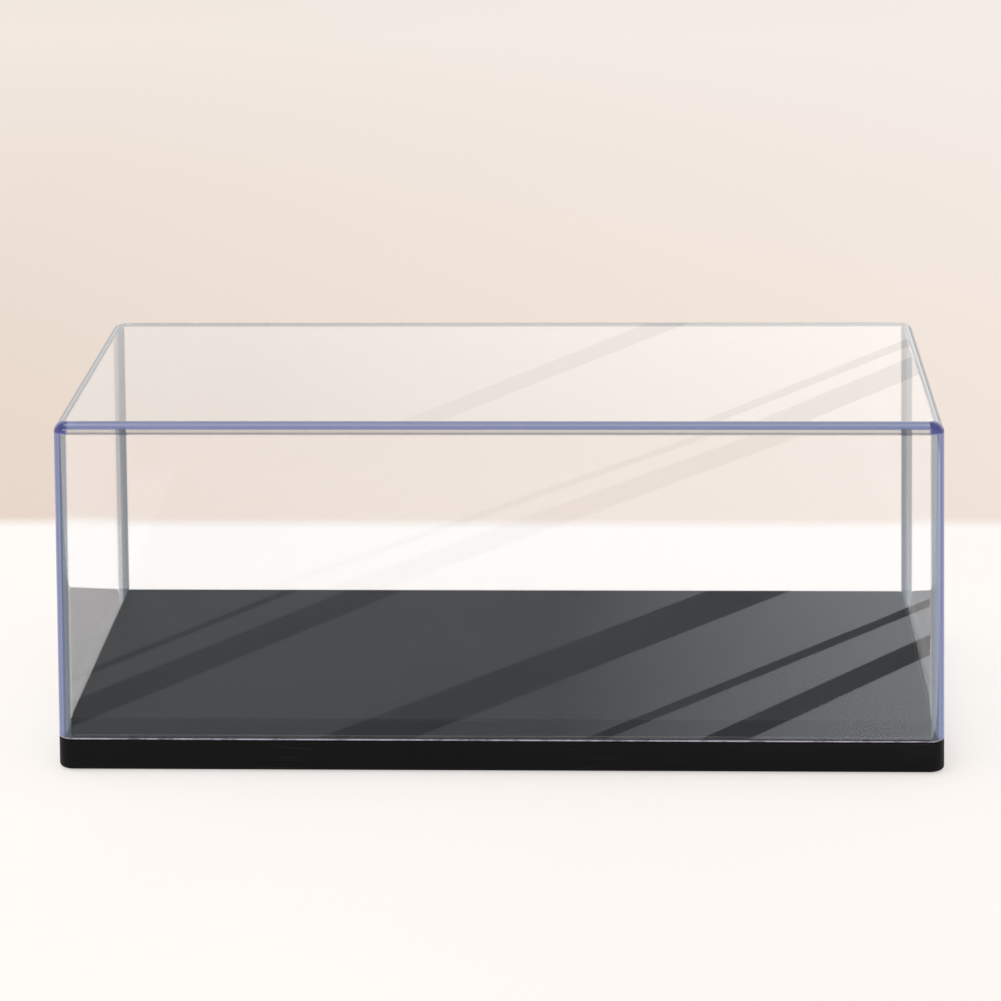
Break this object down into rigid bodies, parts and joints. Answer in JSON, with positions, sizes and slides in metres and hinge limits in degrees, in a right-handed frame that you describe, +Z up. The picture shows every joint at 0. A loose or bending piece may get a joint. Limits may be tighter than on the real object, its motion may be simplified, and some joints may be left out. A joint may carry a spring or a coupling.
{
  "type": "display case",
  "caption": "Low rectangular display case: a clear thin-walled lift-off cover with rounded edges stands on a black base with a raised deck and soft foot pads.",
  "frame": {"origin": "centre of the case's outline, on the plane that the foot pads stand on", "axes": "+X along the case to the right as seen from the front, +Y to the back, +Z up out of the deck"},
  "size_m": [0.24, 0.12, 0.097],
  "materials": {
    "base_plastic": "satin black, fine moulded grain",
    "clear_plastic": "clear polished polystyrene, a faint blue-violet in the edges",
    "pad_rubber": "matt black"
  },
  "bodies": {
    "base": {"base": "base_plastic", "foot_pad_front_left": "pad_rubber", "foot_pad_front_right": "pad_rubber", "foot_pad_back_left": "pad_rubber", "foot_pad_back_right": "pad_rubber"},
    "cover": {"cover": "clear_plastic"}
  },
  "joints": [
    {"name": "cover_lift", "type": "slide", "parent": "base", "child": "cover", "axis": [0, 0, 1], "range_m": [0, 0.1]}
  ]
}
